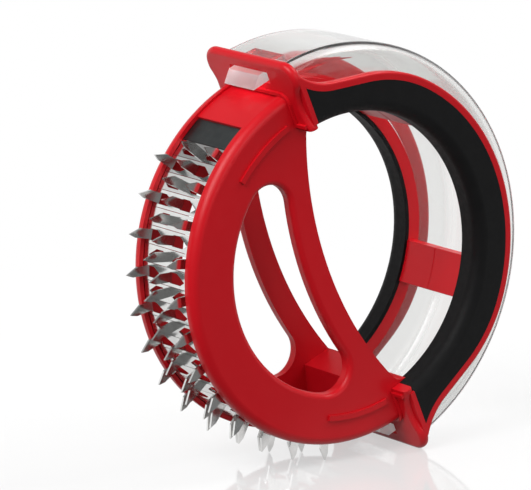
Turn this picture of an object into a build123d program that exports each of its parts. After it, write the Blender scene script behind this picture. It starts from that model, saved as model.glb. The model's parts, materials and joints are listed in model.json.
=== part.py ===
from build123d import *
import os
from math import acos, asin, atan2, cos, degrees, hypot, radians, sin, sqrt, tan

# A ring-shaped rocking meat tenderizer, in millimetres and degrees.
# It is modelled lying in its own ring frame and stood up at the end:
# X runs from the blades to the handle, Y along the ring's axis, Z along the two flanges.
# Row angles are counted from the middle of the blades, positive towards the lower flange.

# Clearances
cut_overrun = 2.0
fit_gap = 0.05
slide_gap = 0.3

# Blade head: two D-shaped side plates
rim_radius = 63.0
band_width = 17.5
head_width = 34.0
plate_thickness = 4.2
rim_round = 3.0
edge_round = 1.8
blade_opening_corner = 8.2
bar_blade_side = 16.1
bar_blade_bow = 120.0
bar_hand_side = 7.65
bar_hand_bow = 124.0
rib_depth = 9.6
rib_width = 1.9
rib_height = 0.8
rib_start_angle = 59.0
rib_end_angle = 85.5

# End blocks that hold the plates apart
block_step = 0.8
block_inner_height = 41.0
tenon_depth = 2.4
tenon_height = 6.0
tenon_width = 20.0
head_pin_diameter = 3.0
head_pin_bite = 1.3
head_pin_depth = 9.0
head_pin_angles = (79.0, 87.0)

# Blade strips: one stamping, turned end for end in every other row
row_count = 23
row_pitch = 5.7
window_angle = 74.0
strip_drop = 1.8
strip_thickness = 0.8
strip_bite = 1.0
strip_seam = 0.12
tooth_length = 8.0
tooth_width = 3.3
tooth_shoulder = 3.8
tooth_heel = 5.7
tooth_point_share = 0.74
tooth_outer_share = 0.84
tooth_inner_share = 0.165
tooth_relief = 0.25

# Flanges, collars and the snap slots
flange_front = -0.4
flange_thickness = 3.6
flange_root = 10.7
flange_corner = 6.0
flange_round = 1.7
flange_over = 2.1
waist_depth = 2.2
waist_radius = 14.0
waist_drop = 15.5
waist_ease = 4.0
collar_height = 0.9
collar_width = 1.2
slot_side_gap = 2.2
slot_drop = 4.1

# Handle rails: a base with a lip along its outer side and a soft grip
hand_depth = 12.3
grip_inner_wall = 1.6
grip_side_wall = 3.0
grip_round = 4.0
opening_corner = 5.0
ledge_width = 4.2
ledge_height = 6.0
lip_thickness = 4.9
lip_height = 2.7
lip_round = 0.9
lip_inner_round = 2.6
rail_depth = 14.4
saddle_dip = 3.4
saddle_back = 10.8
saddle_slope = 18.4
saddle_length = 14.2
flare_radius = 22.0

# Bridges between the rails
bridge_angle = 37.1
bridge_span = 16.0
bridge_step = 1.1
bridge_thickness = 4.0
bridge_seam = 0.3
seam_pin_diameter = 2.0
seam_pin_length = 12.0
flange_pin_drop = 6.6

# Clear cover
cover_width = 38.4
cover_rise = 7.8
cover_wall = 1.8
cover_side = 14.9
cover_round = 4.5
hook_width = 16.2
hook_height = 3.6
hook_front = 5.6
hook_root = 6.0

# Worked out from the sizes above
gap_half = head_width / 2 - plate_thickness
blade_opening_radius = rim_radius - band_width
flange_back = flange_front + flange_thickness
flange_middle = flange_front + flange_thickness / 2
grip_inner_radius = rim_radius - hand_depth
ledge_radius = grip_inner_radius + ledge_height
rail_radius = grip_inner_radius + rail_depth
bridge_radius = grip_inner_radius + bridge_step
cover_radius = rail_radius + cover_rise
cover_half = cover_width / 2
lip_near = cover_half + slide_gap
handle_half = lip_near + lip_thickness
rail_near = lip_near - ledge_width
core_far = handle_half - grip_side_wall
flange_foot = grip_inner_radius - flange_root
flange_reach = cover_radius + flange_over
waist_place = flange_reach - waist_drop
slot_place = cover_radius - slot_drop
tenon_place = (rim_radius + grip_inner_radius) / 2
strip_face = rim_radius - strip_drop
strip_back = strip_face - strip_thickness
tip_radius = strip_face + tooth_length
last_row_angle = (row_count - 1) / 2 * row_pitch
end_span = window_angle - row_count / 2 * row_pitch
cover_end = flange_back + slide_gap

# Well outside the tool, for the shapes that cut it
reach = 4 * rim_radius


def slab(outline, low, high):
    """An outline drawn in the ring's plane, as thick as from low to high along the axis."""
    return extrude(Plane.XZ.offset(-high) * outline, high - low, dir=(0, -1, 0))


def disc(radius, place=0):
    return Pos(place, 0) * Circle(radius)


def left_of(place):
    return Pos(place - reach / 2, 0) * Rectangle(reach, reach)


def above(height):
    return Pos(0, height + reach / 2) * Rectangle(reach, reach)


def both_ends(upper):
    """A shape at the upper flange together with its copy at the lower one."""
    return upper + mirror(upper, about=Plane.XY)


def other_side(shape):
    return mirror(shape, about=Plane.XZ)


def axle(diameter, low, high, place, height):
    """A round pin or hole along the ring's axis."""
    return slab(Pos(place, height) * Circle(diameter / 2), low, high)


def hand_opening():
    """The opening for the fingers, between the chord bar and the grips."""
    bar = disc(bar_hand_bow - opening_corner, bar_hand_bow - bar_hand_side)
    lens = disc(grip_inner_radius - opening_corner) & bar
    return offset(lens, opening_corner)


def blade_opening():
    """The D-shaped opening between the blade band and the chord bar."""
    bar = disc(bar_blade_bow + blade_opening_corner, bar_blade_bow - bar_blade_side)
    shape = disc(blade_opening_radius - blade_opening_corner) - bar
    return offset(shape, blade_opening_corner)


def head_outline(radius):
    """The head up to its flanges, with the chord bar's ends inside the ring of the grips."""
    area = left_of(flange_front) + disc(grip_inner_radius - fit_gap)
    return (disc(radius) & area) - hand_opening() - blade_opening()


def window_wedge():
    """The sector of the head that the blade strips take up."""
    side = reach * sin(radians(window_angle))
    front = reach * cos(radians(window_angle))
    return make_face(Polyline(
        (0, 0),
        (-front, side),
        (-reach, side),
        (-reach, -side),
        (-front, -side),
        close=True,
    ))


def rib_outline(sign):
    """A slim raised bead that follows the rim near one end of a side plate."""
    start = 180 - sign * rib_start_angle
    sweep = -sign * (rib_end_angle - rib_start_angle)
    spine = CenterArc((0, 0), rim_radius - rib_depth, start, sweep)
    return trace(spine, rib_width)


def head_pin_places(sign):
    radius = rim_radius - head_pin_depth
    return [
        (-radius * cos(radians(angle)), sign * radius * sin(radians(angle)))
        for angle in head_pin_angles
    ]


def side_plate():
    """The D-shaped plate on the +Y side, with a groove that takes the strips' ends."""
    inner = gap_half
    outer = head_width / 2
    plate = slab(head_outline(rim_radius), inner, outer)
    face = plate.faces().sort_by(Axis.Y)[-1]
    rim = face.outer_wire().edges().filter_by(GeomType.CIRCLE).sort_by(SortBy.LENGTH)[-1]
    plate = fillet(rim, rim_round)
    face = plate.faces().filter_by(Axis.Y).sort_by(Axis.Y)[-1]
    plate = fillet(face.inner_wires()[0].edges(), edge_round)
    span = max(row_pitch, end_span)
    groove = disc(strip_face / cos(radians(span / 2)) + fit_gap) - disc(strip_back - fit_gap)
    plate -= slab(groove, inner - cut_overrun, inner + strip_bite + fit_gap)
    for sign in (1, -1):
        plate += slab(rib_outline(sign), outer - rib_height, outer + rib_height)
        for place, height in head_pin_places(sign):
            plate -= axle(head_pin_diameter + fit_gap, 0, gap_half + head_pin_bite + fit_gap, place, height)
    return plate


def end_block():
    """The upper block between the plates, with the tenon that goes into the flange."""
    outline = (head_outline(rim_radius - block_step) & above(block_inner_height)) - window_wedge()
    block = slab(outline, -gap_half, gap_half)
    tenon = Pos(0, tenon_place) * Rectangle(2 * (flange_front + tenon_depth), tenon_height)
    block += slab(tenon, -tenon_width / 2, tenon_width / 2) & slab(above(0), -reach, reach)
    for place, height in head_pin_places(1):
        block -= axle(head_pin_diameter + fit_gap, -reach, reach, place, height)
    return block


def plain_strip(span):
    """A flat steel strip across the head in the middle row, as wide as an angle of the rim."""
    width = 2 * strip_back * tan(radians(span / 2)) - strip_seam
    middle = -(strip_face + strip_back) / 2
    return Pos(middle, 0, 0) * Box(strip_thickness, 2 * (gap_half + strip_bite), width)


def tooth_outline():
    """A dagger tooth seen along the axis, with its point nearer to its lower edge."""
    half = tooth_width / 2
    point = half - tooth_point_share * tooth_width
    return make_face(Polyline(
        (-strip_back, half),
        (-strip_face - tooth_shoulder, half),
        (-tip_radius, point),
        (-strip_face - tooth_heel, -half),
        (-strip_back, -half),
        close=True,
    ))


def tooth_hole(place):
    """The hole that a tooth leaves in its strip, pointed like the tooth."""
    half = tooth_width / 2 + tooth_relief
    far = place - tooth_length
    outline = make_face(Polyline(
        (place, half),
        (far + tooth_length - tooth_shoulder, half),
        (far, half - tooth_point_share * tooth_width),
        (far + tooth_length - tooth_heel, -half),
        (place, -half),
        close=True,
    ))
    return extrude(Plane.YZ.offset(-reach) * outline, reach, dir=(1, 0, 0))


def toothed_strip():
    """A strip with two teeth bent out of it, one at the +Y end and one past the middle."""
    strip = plain_strip(row_pitch)
    for share in (tooth_outer_share, -tooth_inner_share):
        place = share * gap_half
        strip -= tooth_hole(place)
        strip += slab(tooth_outline(), place, place + strip_thickness)
    return strip


def turned(strip, angle):
    """A strip moved along the rim to its row."""
    return Rot(0, -angle, 0) * strip


def outer_edge(inset, front):
    """The upper half of a rail's outer edge: a bow, a straight saddle and a flare up at the front."""
    along_x = cos(radians(saddle_slope))
    along_z = -sin(radians(saddle_slope))
    front_x = flange_back + saddle_back
    front_z = rail_radius - saddle_dip
    back_x = front_x + saddle_length * along_x
    back_z = front_z + saddle_length * along_z
    ease = (rail_radius ** 2 - back_x ** 2 - back_z ** 2) / 2
    ease /= rail_radius + back_x * along_z - back_z * along_x
    ease_x = back_x + ease * along_z
    ease_z = back_z - ease * along_x
    start = degrees(atan2(ease_z, ease_x))
    flare_x = front_x - flare_radius * along_z
    flare_z = front_z + flare_radius * along_x
    flare = flare_radius + inset
    turn = degrees(acos((front - flare_x) / flare))
    bow = CenterArc((0, 0), rail_radius - inset, 0, start)
    bend = CenterArc((ease_x, ease_z), ease - inset, start, 90 - saddle_slope - start)
    rise = CenterArc((flare_x, flare_z), flare, 270 - saddle_slope, saddle_slope + 90 - turn)
    return [bow, bend, Line(bend @ 1, rise @ 0), rise]


def inner_edge(radius, front):
    """The upper half of a rail's inner edge, from the flange to the middle of the handle."""
    angle = degrees(acos(front / radius))
    return CenterArc((0, 0), radius, angle, -angle)


def crescent(edges):
    upper = make_face(edges)
    return upper + mirror(upper, about=Plane.XZ)


def rail_outline(inner_radius):
    """The red rail, which reaches into each flange."""
    outer = outer_edge(0, flange_back)
    inner = inner_edge(inner_radius, flange_back)
    top = outer[-1] @ 1
    path = Polyline(top, (flange_middle, top.Y), (flange_middle, (inner @ 0).Y), inner @ 0)
    foot = Line(inner @ 1, (rail_radius, 0))
    return crescent(outer + [path, inner, foot])


def grip_outline(clearance):
    """The soft grip, below the lip and up against the flange."""
    inset = lip_height + clearance
    front = flange_back + clearance
    outer = outer_edge(inset, front)
    inner = inner_edge(grip_inner_radius, front)
    path = Line(outer[-1] @ 1, inner @ 0)
    foot = Line(inner @ 1, (rail_radius - inset, 0))
    return crescent(outer + [path, inner, foot])


def outside_edges(solid, height, limit):
    """The edges of a rail at a height along the axis that lie further out than a limit."""
    level_edges = solid.edges().filter_by_position(Axis.Y, height, height)
    level_edges = level_edges.filter_by(GeomType.CIRCLE)
    return level_edges.filter_by(lambda edge: hypot(edge.center().X, edge.center().Z) > limit)


def rail():
    """The +Y rail: a base behind the grip, and a lip that guards the cover's side."""
    core = slab(rail_outline(grip_inner_radius + grip_inner_wall), rail_near, handle_half)
    core -= slab(disc(reach) - disc(ledge_radius), rail_near - cut_overrun, lip_near)
    core = fillet(outside_edges(core, handle_half, ledge_radius), lip_round)
    core = fillet(outside_edges(core, lip_near, ledge_radius + lip_inner_round), lip_inner_round)
    return core - slab(grip_outline(0), core_far, handle_half + cut_overrun)


def grip():
    """The +Y soft grip, which covers the rail's side and its inner edge."""
    pad = slab(grip_outline(fit_gap), rail_near, handle_half)
    bows = pad.edges().filter_by_position(Axis.Y, handle_half, handle_half).filter_by(GeomType.CIRCLE)
    inner = bows.sort_by(lambda edge: hypot(edge.center().X, edge.center().Z))[0]
    pad = fillet(inner, grip_round)
    core = rail_outline(grip_inner_radius + grip_inner_wall - fit_gap)
    return pad - slab(core, rail_near - cut_overrun, core_far + fit_gap)


def flange():
    """The +Y half of the upper flange, with a waist at its side, which ends on the ring of the grips."""
    middle = (flange_foot + flange_reach) / 2
    outline = Pos(handle_half / 2, middle) * Rectangle(handle_half, flange_reach - flange_foot)
    corner = outline.vertices().sort_by(lambda point: point.X + point.Y)[-1]
    outline = fillet(corner, flange_corner)
    outline -= Pos(handle_half - waist_depth + waist_radius, waist_place) * Circle(waist_radius)
    waist_ends = outline.vertices().sort_by_distance((handle_half, waist_place))[:2]
    outline = fillet(waist_ends, waist_ease)
    plate = extrude(Plane.YZ.offset(flange_front) * outline, flange_thickness, dir=(1, 0, 0))
    rim = plate.edges().filter_by(Plane.YZ)
    rim = rim.filter_by(lambda edge: edge.center().Y > flange_round)
    rim = rim.filter_by(lambda edge: edge.center().Z > flange_foot + flange_round)
    plate = fillet(rim, flange_round)
    return plate - slab(disc(grip_inner_radius), -reach, reach)


def collar():
    """The thin raised bead of the flange around the end of the head, +Y half."""
    side = head_width / 2 + fit_gap
    top = rim_radius + fit_gap
    foot = grip_inner_radius + collar_width
    head = Pos(0, top / 2) * Rectangle(2 * side, top)
    head = fillet(head.vertices().group_by(Axis.Y)[-1], rim_round)
    wings = Pos(0, foot + collar_width / 2) * Rectangle(2 * (handle_half - flange_round), collar_width)
    outline = (offset(head, collar_width) & above(foot)) + wings - head - left_of(0)
    return extrude(Plane.YZ.offset(flange_front - collar_height) * outline, 2 * collar_height, dir=(1, 0, 0))


def bridge():
    """The +Y half of the upper bridge between the rails."""
    half = bridge_span / 2
    far = reach * cos(radians(half))
    side = reach * sin(radians(half))
    wedge = Rot(0, 0, bridge_angle) * make_face(Polyline((0, 0), (far, side), (far, -side), close=True))
    outline = (disc(bridge_radius + bridge_thickness) - disc(bridge_radius)) & wedge
    block = slab(outline, 0, rail_near)
    return chamfer(block.faces().sort_by(Axis.Y)[0].edges(), bridge_seam)


def bridge_pin_place():
    radius = bridge_radius + bridge_thickness / 2
    return radius * cos(radians(bridge_angle)), radius * sin(radians(bridge_angle))


def seam_pin_places():
    return [bridge_pin_place(), (flange_middle, slot_place - flange_pin_drop)]


def snap_slot():
    height = hook_height + 2 * slide_gap
    slot = Pos(flange_middle, slot_place) * Rectangle(flange_thickness + 2 * cut_overrun, height)
    width = hook_width + 2 * slot_side_gap
    return slab(slot, -width / 2, width / 2)


def handle_side():
    """The +Y half of the handle: a rail, two half flanges and two half bridges."""
    end = flange() + collar() - snap_slot()
    socket = Rectangle(2 * (tenon_depth + fit_gap), tenon_height + 2 * fit_gap)
    end -= slab(Pos(flange_front, tenon_place) * socket, -reach, tenon_width / 2 + fit_gap)
    end += bridge()
    for place, height in seam_pin_places():
        end -= axle(seam_pin_diameter + fit_gap, -reach, seam_pin_length / 2 + fit_gap, place, height)
    return rail() + both_ends(end)


def hook():
    """The upper snap hook, from the cover's end through the flange's slot to its sloping front."""
    tip = flange_front - hook_front
    root = cover_end + hook_root
    low = slot_place - hook_height / 2
    high = slot_place + hook_height / 2
    wall = sqrt((cover_radius - cover_wall / 2) ** 2 - root ** 2)
    outline = make_face(Polyline(
        (tip, low),
        (root, low),
        (root, wall),
        (cover_end, wall),
        (cover_end, high),
        (tip + hook_height, high),
        close=True,
    ))
    return slab(outline, -hook_width / 2, hook_width / 2)


def clear_cover():
    """The clear U-channel over the back of the handle, with a snap hook at each end."""
    inner_radius = cover_radius - cover_wall
    low = cover_radius - cover_side
    outside = Pos((low + cover_radius) / 2, 0) * Rectangle(cover_side, 2 * cover_half)
    outside = fillet(outside.vertices().group_by(Axis.X)[-1], cover_round)
    inside = Rectangle(cover_side, 2 * (cover_half - cover_wall))
    inside = Pos((low - cover_wall + inner_radius) / 2, 0) * inside
    inside = fillet(inside.vertices().group_by(Axis.X)[-1], cover_round - cover_wall)
    channel = revolve(outside - inside, Axis.Y, 360)
    channel -= slab(left_of(cover_end), -reach, reach)
    return channel + both_ends(hook())


def pins():
    """The hidden pins: through the end blocks, and across the handle's seam."""
    bite = gap_half + head_pin_bite
    head = [
        axle(head_pin_diameter, -bite, bite, place, height)
        for sign in (1, -1)
        for place, height in head_pin_places(sign)
    ]
    half = seam_pin_length / 2
    seam = [
        axle(seam_pin_diameter, -half, half, place, sign * height)
        for sign in (1, -1)
        for place, height in seam_pin_places()
    ]
    return head[0] + head[1:], seam[0] + seam[1:]


def all_pieces():
    """Every piece in the ring's own frame, by node name. The left side is -Y."""
    side = handle_side()
    pad = grip()
    plate = side_plate()
    block = end_block()
    blank = plain_strip(end_span)
    end_angle = window_angle - end_span / 2
    blade = toothed_strip()
    head_pins, seam_pins = pins()
    pieces = {
        "left_handle_half": other_side(side),
        "right_handle_half": side,
        "left_grip": other_side(pad),
        "right_grip": pad,
        "left_side_plate": other_side(plate),
        "right_side_plate": plate,
        "upper_end_block": block,
        "lower_end_block": mirror(block, about=Plane.XY),
        "upper_end_plate": turned(blank, -end_angle),
        "lower_end_plate": turned(blank, end_angle),
        "head_pins": head_pins,
        "seam_pins": seam_pins,
        "clear_cover": clear_cover(),
    }
    for row in range(row_count):
        angle = row * row_pitch - last_row_angle
        strip = other_side(blade) if row % 2 == 0 else blade
        pieces[f"blade_strip_{row + 1:02d}"] = turned(strip, angle)
    return pieces


def stand_tilt():
    """How far the ring leans back when it stands on its lower flange and its last teeth."""
    point = tooth_point_share * tooth_width - tooth_width / 2
    tip = hypot(tip_radius, point)
    tip_angle = radians(last_row_angle) + asin(point / tip)
    rise = flange_reach - flange_round - tip * sin(tip_angle)
    run = flange_front + flange_round + tip * cos(tip_angle)
    return degrees(acos(-flange_round / hypot(rise, run)) - atan2(run, rise))


def stood_up(pieces):
    """The pieces on the floor, with the origin below the middle of their common box."""
    tilt = Rot(0, -stand_tilt(), 0)
    leaning = {name: tilt * piece for name, piece in pieces.items()}
    boxes = [piece.bounding_box() for piece in leaning.values()]
    middle = (min(box.min.X for box in boxes) + max(box.max.X for box in boxes)) / 2
    floor = min(box.min.Z for box in boxes)
    return {name: Pos(-middle, 0, -floor) * piece for name, piece in leaning.items()}, middle, floor


os.makedirs("parts", exist_ok=True)
standing, ring_middle, ring_floor = stood_up(all_pieces())
for node, solid in standing.items():
    export_step(solid, f"parts/{node}.step")
print("tilt", round(stand_tilt(), 3), "ring centre at", round(-ring_middle, 3), round(-ring_floor, 3))
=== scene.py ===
import json
from math import cos, radians, sin

import bpy
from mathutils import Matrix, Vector


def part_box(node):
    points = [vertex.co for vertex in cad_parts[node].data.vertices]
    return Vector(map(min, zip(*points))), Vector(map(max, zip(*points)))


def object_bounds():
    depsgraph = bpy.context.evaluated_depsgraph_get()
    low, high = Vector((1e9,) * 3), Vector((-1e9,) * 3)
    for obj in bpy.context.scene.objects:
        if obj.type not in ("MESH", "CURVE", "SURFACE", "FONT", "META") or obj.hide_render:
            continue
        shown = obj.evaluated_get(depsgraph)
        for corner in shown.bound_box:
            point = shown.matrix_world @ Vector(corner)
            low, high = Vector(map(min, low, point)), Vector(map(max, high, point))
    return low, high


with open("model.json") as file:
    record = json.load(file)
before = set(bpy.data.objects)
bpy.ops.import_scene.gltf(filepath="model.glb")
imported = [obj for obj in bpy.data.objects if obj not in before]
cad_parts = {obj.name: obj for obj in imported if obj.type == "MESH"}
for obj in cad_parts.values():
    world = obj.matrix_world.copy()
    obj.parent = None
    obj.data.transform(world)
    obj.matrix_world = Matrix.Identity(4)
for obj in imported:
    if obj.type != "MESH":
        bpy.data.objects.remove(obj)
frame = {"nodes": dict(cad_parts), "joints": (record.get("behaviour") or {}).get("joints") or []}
cad_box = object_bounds()

# The ring's own frame, in metres: the cover's upper corner and outer radius give its centre
cover_radius = 0.0729
slide_axis = Vector(frame["joints"][0]["axis"])
cover_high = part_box("clear_cover")[1]
ring_centre = Vector((cover_high.x - cover_radius, 0, cover_high.z - cover_radius))
upwards = Vector((0, 0, 1))
across = Vector((0, 1, 0))
in_plane = Vector((1, 0, 1))

# Camera: where the photograph was taken from, in metres, and the pixel where it shows the ring's centre
photo_width = 531
photo_height = 490
sensor_width = 36
focal_pixels = 4314.9
view_azimuth = radians(-37.27)
view_elevation = radians(12.93)
view_roll = radians(-0.53)
view_distance = 1.443
ring_pixel_x = 315.4
ring_pixel_y = 251.2

# Lamps: square and soft, with places and sizes in metres and power in watts
lamps = {
    "key": {"place": (-1.1, -0.5, 1.1), "size": 1.0, "power": 15},
    "front": {"place": (0.3, -1.5, 0.7), "size": 1.0, "power": 5},
    "left": {"place": (-1.2, 0, 1.3), "size": 1.0, "power": 14},
    "right": {"place": (0.9, -0.4, 1.3), "size": 0.6, "power": 10},
}

# Studio: white, but dimmer near the ground, and to shiny pieces dark overhead and on the camera's side
# Each pair of edges limits the change from one level to the other, as a direction turns up or to that side
ambient_level = 0.36
ground_share = 0.4
ground_edges = (-0.5, 0.1)
backdrop_level = 1.0
room_level = 0.2
room_edges = (-0.15, 0.15)
ceiling_share = 0.3
ceiling_edges = (0.3, 0.55)

# Floor: fades to white away from the tool, and reflections and bounced light meet it only behind its front
floor_reach = 6.0
floor_front = (-0.043, -0.042)
floor_colour = (0.22, 0.22, 0.22, 1)
floor_glow = 0.54
floor_fade = (0.12, 0.3)
floor_roughness = 0.06
floor_shine = 0.5

# Colours
white = (1, 1, 1, 1)
red_deep = (0.5, 0.003, 0.0085, 1)
red_bright = (0.56, 0.004, 0.0105, 1)
grip_dark = (0.004, 0.004, 0.0043, 1)
grip_pale = (0.008, 0.008, 0.0084, 1)
steel_dark = (0.66, 0.66, 0.65, 1)
steel_pale = (0.84, 0.84, 0.83, 1)
plate_dark = (0.07, 0.078, 0.08, 1)
plate_pale = (0.11, 0.12, 0.12, 1)
clear_tint = (0.78, 0.78, 0.77, 1)
outer_tint = (0.9, 0.9, 0.89, 1)
hook_tint = (0.92, 0.92, 0.93, 1)

# Finishes: the width of clouds, smears and grains in metres, and the limits of the roughness
noise_middle = (0.3, 0.7)
red_clouds = 0.02
red_smears = 0.004
red_roughness = (0.32, 0.4)
red_shine = 0.26
grip_clouds = 0.006
grip_smears = 0.0015
grip_grain = 0.00035
grip_grain_depth = 0.00002
grip_roughness = (0.5, 0.64)
grip_shine = 0.12
steel_clouds = 0.004
rolling_grain = 0.0002
rolling_stretch = (1, 60, 1)
rolling_depth = 0.000003
blade_roughness = (0.1, 0.2)
plate_roughness = (0.3, 0.42)
pin_roughness = (0.3, 0.4)
clear_smears = 0.01
clear_roughness = (0.01, 0.05)
clear_bending = 1.49

# Cover: where its outer wall begins, from the ring's axis, where that wall's corners begin, from the
# middle plane, and where its frosted hooks end, along the slide from the ring's centre
outer_edges = (0.0703, 0.0711)
corner_edges = (0.0147, 0.0157)
corner_share = 0.6
frost_edges = (0.0036, 0.0046)
frost_roughness = 0.45


def new_material(name):
    """A material, its node tree and its main shader."""
    material = bpy.data.materials.new(name)
    material.use_nodes = True
    tree = material.node_tree
    return material, tree, tree.nodes["Principled BSDF"]


def object_noise(tree, grain, stretch=(1, 1, 1)):
    """A noise whose grains are about as wide as grain, in metres, and drawn out by stretch."""
    place = tree.nodes.new("ShaderNodeTexCoord")
    scale = tree.nodes.new("ShaderNodeMapping")
    scale.inputs["Scale"].default_value = [1 / (grain * share) for share in stretch]
    noise = tree.nodes.new("ShaderNodeTexNoise")
    noise.inputs["Scale"].default_value = 1
    tree.links.new(place.outputs["Object"], scale.inputs["Vector"])
    tree.links.new(scale.outputs["Vector"], noise.inputs["Vector"])
    return noise.outputs["Fac"]


def ranged(tree, value, start, end, low, high):
    """A value that goes from low to high while the given one goes from start to end."""
    node = tree.nodes.new("ShaderNodeMapRange")
    tree.links.new(value, node.inputs["Value"])
    node.inputs["From Min"].default_value = start
    node.inputs["From Max"].default_value = end
    node.inputs["To Min"].default_value = low
    node.inputs["To Max"].default_value = high
    return node.outputs["Result"]


def combined(tree, operation, *values):
    """The result of one mathematical operation on one or two values."""
    node = tree.nodes.new("ShaderNodeMath")
    node.operation = operation
    for value, socket in zip(values, node.inputs):
        tree.links.new(value, socket)
    return node.outputs["Value"]


def feed(tree, value, socket):
    """Links a socket to another one, or sets it where the value is a plain number or colour."""
    if isinstance(value, bpy.types.NodeSocket):
        tree.links.new(value, socket)
    else:
        socket.default_value = value


def mixed(tree, share, first, second, data_type, socket_type):
    """Something between two ends. Each end is a plain number or colour, or a socket."""
    node = tree.nodes.new("ShaderNodeMix")
    node.data_type = data_type
    tree.links.new(share, node.inputs["Factor"])
    for name, end in (("A", first), ("B", second)):
        fitting = (socket for socket in node.inputs if socket.name == name and socket.type == socket_type)
        feed(tree, end, next(fitting))
    return next(socket for socket in node.outputs if socket.type == socket_type)


def mixed_colour(tree, share, first, second):
    """A colour between two others."""
    return mixed(tree, share, first, second, "RGBA", "RGBA")


def mixed_number(tree, share, first, second):
    """A number between two others."""
    return mixed(tree, share, first, second, "FLOAT", "VALUE")


def along(tree, kind, direction):
    """How far a place lies along a direction, in one kind of texture coordinates."""
    place = tree.nodes.new("ShaderNodeTexCoord")
    node = tree.nodes.new("ShaderNodeVectorMath")
    node.operation = "DOT_PRODUCT"
    node.inputs[1].default_value = direction
    tree.links.new(place.outputs[kind], node.inputs[0])
    return node.outputs["Value"]


def length_of(tree, place):
    """How far a place lies from the origin of its coordinates."""
    node = tree.nodes.new("ShaderNodeVectorMath")
    node.operation = "LENGTH"
    tree.links.new(place, node.inputs[0])
    return node.outputs["Value"]


def ring_distance(tree):
    """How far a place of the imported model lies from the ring's axis."""
    place = tree.nodes.new("ShaderNodeTexCoord").outputs["Object"]
    for operation, operand in (("SUBTRACT", ring_centre), ("MULTIPLY", in_plane)):
        node = tree.nodes.new("ShaderNodeVectorMath")
        node.operation = operation
        node.inputs[1].default_value = operand
        tree.links.new(place, node.inputs[0])
        place = node.outputs["Vector"]
    return length_of(tree, place)


def ray_share(tree, *kinds):
    """One for the given kinds of rays and zero for others."""
    path = tree.nodes.new("ShaderNodeLightPath")
    total = path.outputs[kinds[0]]
    for kind in kinds[1:]:
        total = combined(tree, "MAXIMUM", total, path.outputs[kind])
    return total


def blended(tree, share, first, second):
    """A mix of two shaders."""
    mix = tree.nodes.new("ShaderNodeMixShader")
    tree.links.new(share, mix.inputs["Fac"])
    tree.links.new(first, mix.inputs[1])
    tree.links.new(second, mix.inputs[2])
    return mix.outputs["Shader"]


def use_as_surface(tree, shader):
    """Makes a shader the surface of its material, in place of the main one."""
    tree.links.new(shader, tree.nodes["Material Output"].inputs["Surface"])


def bumped(tree, shader, height, depth):
    """Raises a surface by a height from 0 to 1 times a depth in metres."""
    node = tree.nodes.new("ShaderNodeBump")
    node.inputs["Distance"].default_value = depth
    tree.links.new(height, node.inputs["Height"])
    tree.links.new(node.outputs["Normal"], shader.inputs["Normal"])


def red_plastic():
    """Satin moulded plastic, with faint clouds in its colour and shine."""
    material, tree, shader = new_material("red_plastic")
    base = mixed_colour(tree, object_noise(tree, red_clouds), red_deep, red_bright)
    tree.links.new(base, shader.inputs["Base Color"])
    roughness = ranged(tree, object_noise(tree, red_smears), *noise_middle, *red_roughness)
    tree.links.new(roughness, shader.inputs["Roughness"])
    shader.inputs["Specular IOR Level"].default_value = red_shine
    return material


def soft_grip():
    """Matt rubbery plastic with a fine grain."""
    material, tree, shader = new_material("soft_grip")
    base = mixed_colour(tree, object_noise(tree, grip_clouds), grip_dark, grip_pale)
    tree.links.new(base, shader.inputs["Base Color"])
    roughness = ranged(tree, object_noise(tree, grip_smears), *noise_middle, *grip_roughness)
    tree.links.new(roughness, shader.inputs["Roughness"])
    bumped(tree, shader, object_noise(tree, grip_grain), grip_grain_depth)
    shader.inputs["Specular IOR Level"].default_value = grip_shine
    return material


def rolled_steel(name, dark, pale, roughness):
    """Metal with fine rolling lines across the tool."""
    material, tree, shader = new_material(name)
    lines = object_noise(tree, rolling_grain, rolling_stretch)
    clouds = object_noise(tree, steel_clouds)
    tree.links.new(mixed_colour(tree, clouds, dark, pale), shader.inputs["Base Color"])
    tree.links.new(ranged(tree, lines, *noise_middle, *roughness), shader.inputs["Roughness"])
    bumped(tree, shader, lines, rolling_depth)
    shader.inputs["Metallic"].default_value = 1
    return material


def clear_plastic():
    """Clear polished plastic that casts no shadow, with frosted snap hooks and outer corners."""
    material, tree, shader = new_material("clear_plastic")
    outer = ranged(tree, ring_distance(tree), *outer_edges, 0, 1)
    middle = ring_centre.dot(slide_axis)
    edges = [middle + edge for edge in frost_edges]
    hooks = ranged(tree, along(tree, "Object", slide_axis), *edges, 1, 0)
    walls = mixed_colour(tree, outer, clear_tint, outer_tint)
    tree.links.new(mixed_colour(tree, hooks, walls, hook_tint), shader.inputs["Base Color"])
    shader.inputs["Transmission Weight"].default_value = 1
    side = combined(tree, "ABSOLUTE", along(tree, "Object", across))
    corner = combined(tree, "MULTIPLY", outer, ranged(tree, side, *corner_edges, 0, 1))
    frost = combined(tree, "MAXIMUM", hooks, ranged(tree, corner, 0, 1, 0, corner_share))
    smears = ranged(tree, object_noise(tree, clear_smears), *noise_middle, *clear_roughness)
    roughness = combined(tree, "ADD", smears, ranged(tree, frost, 0, 1, 0, frost_roughness))
    tree.links.new(roughness, shader.inputs["Roughness"])
    shader.inputs["IOR"].default_value = clear_bending
    open_to_lamps = tree.nodes.new("ShaderNodeBsdfTransparent")
    shadow = ray_share(tree, "Is Shadow Ray")
    use_as_surface(tree, blended(tree, shadow, shader.outputs["BSDF"], open_to_lamps.outputs["BSDF"]))
    return material


def dress(node, material):
    """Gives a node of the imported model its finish."""
    solid = frame["nodes"][node]
    solid.data.materials.clear()
    solid.data.materials.append(material)


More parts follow.
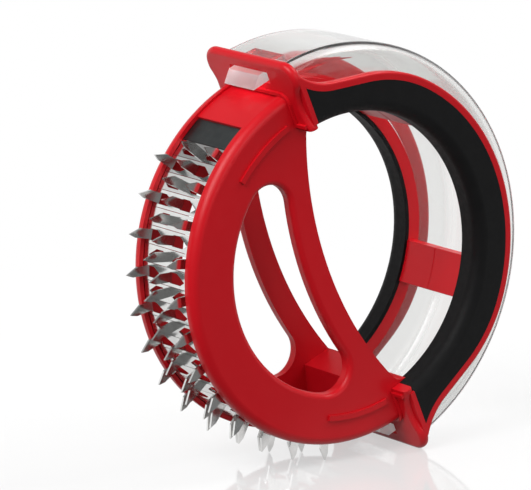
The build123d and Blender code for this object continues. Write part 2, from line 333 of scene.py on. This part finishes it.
def dress_all():
    """Gives each node the finish that goes with a word in its name."""
    red = red_plastic()
    rubber = soft_grip()
    steel = rolled_steel("blade_steel", steel_dark, steel_pale, blade_roughness)
    dark = rolled_steel("dark_plate", plate_dark, plate_pale, plate_roughness)
    pin = rolled_steel("pin_steel", steel_dark, steel_pale, pin_roughness)
    clear = clear_plastic()
    finishes = {
        "handle_half": red,
        "side_plate": red,
        "end_block": red,
        "grip": rubber,
        "blade_strip": steel,
        "end_plate": dark,
        "pins": pin,
        "clear_cover": clear,
    }
    for node in frame["nodes"]:
        word = next(word for word in finishes if word in node)
        dress(node, finishes[word])


def floor_finish():
    """A pale floor with a soft shine, which is white far off and partly open to bounced light."""
    material, tree, shader = new_material("floor")
    shader.inputs["Base Color"].default_value = floor_colour
    shader.inputs["Roughness"].default_value = floor_roughness
    shader.inputs["Specular IOR Level"].default_value = floor_shine
    shader.inputs["Emission Color"].default_value = white
    seen = ray_share(tree, "Is Camera Ray", "Is Glossy Ray", "Is Transmission Ray")
    tree.links.new(ranged(tree, seen, 0, 1, 0, floor_glow), shader.inputs["Emission Strength"])
    distance = length_of(tree, tree.nodes.new("ShaderNodeTexCoord").outputs["Object"])
    white_share = combined(tree, "MULTIPLY", seen, ranged(tree, distance, *floor_fade, 0, 1))
    plain = tree.nodes.new("ShaderNodeEmission")
    plain.inputs["Strength"].default_value = backdrop_level
    pale = blended(tree, white_share, shader.outputs["BSDF"], plain.outputs["Emission"])
    bounced = ray_share(tree, "Is Glossy Ray", "Is Diffuse Ray")
    in_front = ranged(tree, along(tree, "Object", across), *floor_front, 1, 0)
    open_share = combined(tree, "MULTIPLY", bounced, in_front)
    open_to_room = tree.nodes.new("ShaderNodeBsdfTransparent")
    use_as_surface(tree, blended(tree, open_share, pale, open_to_room.outputs["BSDF"]))
    return material


def studio_floor():
    """A large square floor under the tool, squared up to the camera."""
    mesh = bpy.data.meshes.new("floor")
    reach = floor_reach
    corners = [(-reach, -reach, 0), (reach, -reach, 0), (reach, reach, 0), (-reach, reach, 0)]
    mesh.from_pydata(corners, [], [(0, 1, 2, 3)])
    mesh.materials.append(floor_finish())
    floor = bpy.data.objects.new("floor", mesh)
    bpy.context.scene.collection.objects.link(floor)
    floor.location.z = cad_box[0].z
    floor.rotation_euler.z = view_azimuth


def studio_world(back):
    """A white backdrop, and a studio that shiny pieces show: dark overhead and on the camera's side."""
    world = bpy.data.worlds.new("studio")
    world.use_nodes = True
    tree = world.node_tree
    height = along(tree, "Generated", upwards)
    ambient = ranged(tree, height, *ground_edges, ambient_level * ground_share, ambient_level)
    room = ranged(tree, along(tree, "Generated", back), *room_edges, backdrop_level, room_level)
    ceiling = ranged(tree, height, *ceiling_edges, 1, ceiling_share)
    studio = combined(tree, "MULTIPLY", room, ceiling)
    lit = mixed_number(tree, ray_share(tree, "Is Glossy Ray"), ambient, studio)
    seen = ray_share(tree, "Is Camera Ray", "Is Transmission Ray")
    level = mixed_number(tree, seen, lit, backdrop_level)
    background = tree.nodes["Background"]
    background.inputs["Color"].default_value = white
    tree.links.new(level, background.inputs["Strength"])
    bpy.context.scene.world = world


def look_at(holder, target):
    """Turns a lamp or camera towards a point."""
    holder.rotation_euler = (target - holder.location).to_track_quat("-Z", "Y").to_euler()


def studio_lamps():
    """The lamps, all turned towards the ring's centre."""
    for name, lamp in lamps.items():
        light = bpy.data.lights.new(name, "AREA")
        light.size = lamp["size"]
        light.energy = lamp["power"]
        holder = bpy.data.objects.new(name, light)
        bpy.context.scene.collection.objects.link(holder)
        holder.location = lamp["place"]
        look_at(holder, ring_centre)


def view_back():
    """The direction from the tool to the camera."""
    flat = cos(view_elevation)
    return Vector((flat * sin(view_azimuth), -flat * cos(view_azimuth), sin(view_elevation)))


def studio_camera(back):
    """The camera, turned so that the ring's centre falls on its pixel."""
    lens = bpy.data.cameras.new("camera")
    lens.sensor_width = sensor_width
    lens.lens = focal_pixels / photo_width * sensor_width
    camera = bpy.data.objects.new("camera", lens)
    bpy.context.scene.collection.objects.link(camera)
    camera.location = ring_centre + back * view_distance
    level = Vector((cos(view_azimuth), sin(view_azimuth), 0))
    upright = back.cross(level)
    right = level * cos(view_roll) + upright * sin(view_roll)
    up = upright * cos(view_roll) - level * sin(view_roll)
    pixel = view_distance / focal_pixels
    aside = (photo_width / 2 - ring_pixel_x) * pixel
    above = (ring_pixel_y - photo_height / 2) * pixel
    look_at(camera, ring_centre + right * aside + up * above)
    camera.rotation_euler.rotate_axis("Z", view_roll)
    bpy.context.scene.camera = camera


back = view_back()
studio_camera(back)
studio_world(back)
studio_lamps()
studio_floor()
dress_all()
bpy.context.scene.view_settings.view_transform = "Standard"
